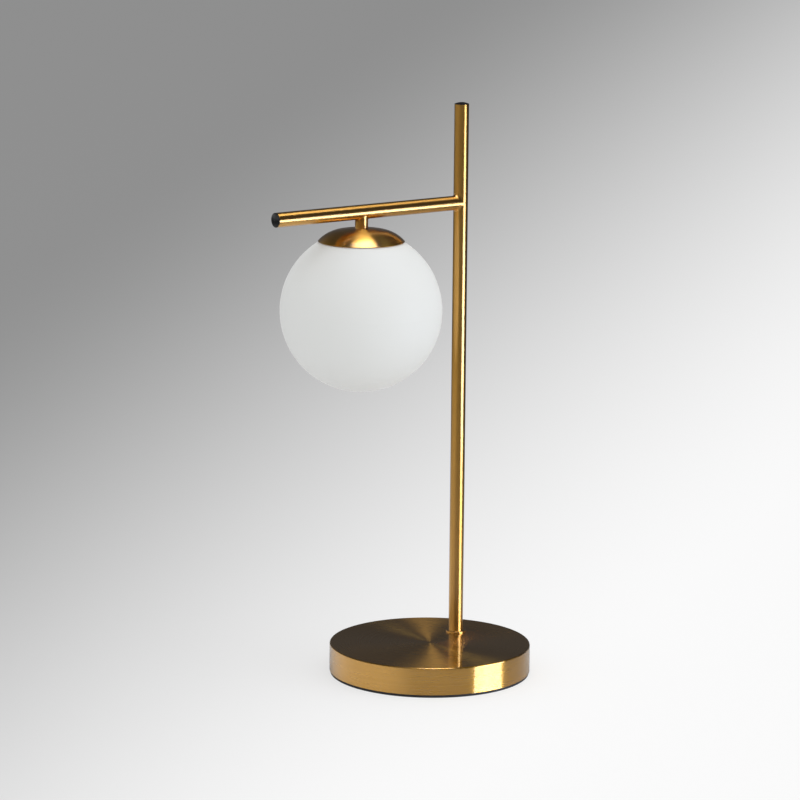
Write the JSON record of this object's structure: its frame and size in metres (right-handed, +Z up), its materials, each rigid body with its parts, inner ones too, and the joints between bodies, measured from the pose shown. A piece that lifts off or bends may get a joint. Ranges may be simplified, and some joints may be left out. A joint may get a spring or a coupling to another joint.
{
  "type": "glass globe table lamp",
  "caption": "Table lamp: an opal glass globe hangs under a shallow brass dome from a tubular arm brazed to an off-centre post on a weighted round foot.",
  "frame": {"origin": "on the table, under the middle of the round foot", "axes": "+Z up; the arm runs towards -X from the post; the cord inlet is at the back of the foot, 22 degrees from +X towards +Y"},
  "size_m": [0.2459, 0.1774, 0.5024],
  "materials": {
    "brass": "brushed satin, lacquered",
    "brass_polished": "polished",
    "black_plastic": "gloss black",
    "black_foam": "matt black",
    "black_rubber": "matt black",
    "iron": "rough, painted grey",
    "zinc": "zinc plated",
    "opal_glass": "satin opal with a clear outer layer",
    "white_plastic": "matt white",
    "ceramic": "unglazed",
    "contact_brass": "plain",
    "copper": "bare stranded copper ends",
    "clear_glass": "clear",
    "led": "phosphor coated",
    "cable": "white sheath",
    "gasket_rubber": "translucent silicone"
  },
  "bodies": {
    "frame": {"foot_pad": "black_foam", "bottom_plate": "iron", "bottom_plate_screws": "zinc", "base_weight": "iron", "base_cover": "brass", "cord_grommet": "black_rubber", "terminal_block": "white_plastic", "terminal_barrels": "contact_brass", "terminal_clamp_screws": "zinc", "terminal_screw": "zinc", "foot_ring": "brass_polished", "post_nipple": "zinc", "post_washer": "zinc", "post_nut": "zinc", "post_insert": "contact_brass", "post_tube": "brass_polished", "post_cap": "black_plastic", "arm_tube": "brass_polished", "arm_cap": "black_plastic", "stem_tube": "brass_polished", "dome_cap": "brass", "lamp_nipple": "zinc", "lamp_washer": "zinc", "lamp_nut": "zinc", "globe_carrier": "white_plastic", "holder_bracket": "zinc", "lampholder": "ceramic", "lampholder_contacts": "contact_brass", "lampholder_rivets": "zinc", "internal_lead": "cable", "lead_cores_foot": "copper", "lead_cores_lamp": "copper"},
    "gasket": {"globe_gasket": "gasket_rubber"},
    "globe": {"globe": "opal_glass", "globe_collar": "white_plastic"},
    "bulb": {"bulb_pins": "zinc", "bulb_base": "ceramic", "bulb_glass": "clear_glass", "bulb_led_strip": "led"}
  },
  "joints": [
    {"name": "globe_drop", "type": "slide", "parent": "frame", "child": "gasket", "axis": [0, 0, -1], "range_m": [0, 0.0081]},
    {"name": "globe_turn", "type": "hinge", "parent": "gasket", "child": "globe", "pos_m": [-0.06551, 0.01705, 0.32825], "axis": [0, 0, -1], "range_deg": [0, 720]},
    {"name": "bulb_pull", "type": "slide", "parent": "frame", "child": "bulb", "axis": [0, 0, -1], "range_m": [0, 0.009]}
  ],
  "couplings": [
    {"joint": "globe_drop", "follows": "globe_turn", "m_per_rad": 0.00063662}
  ]
}
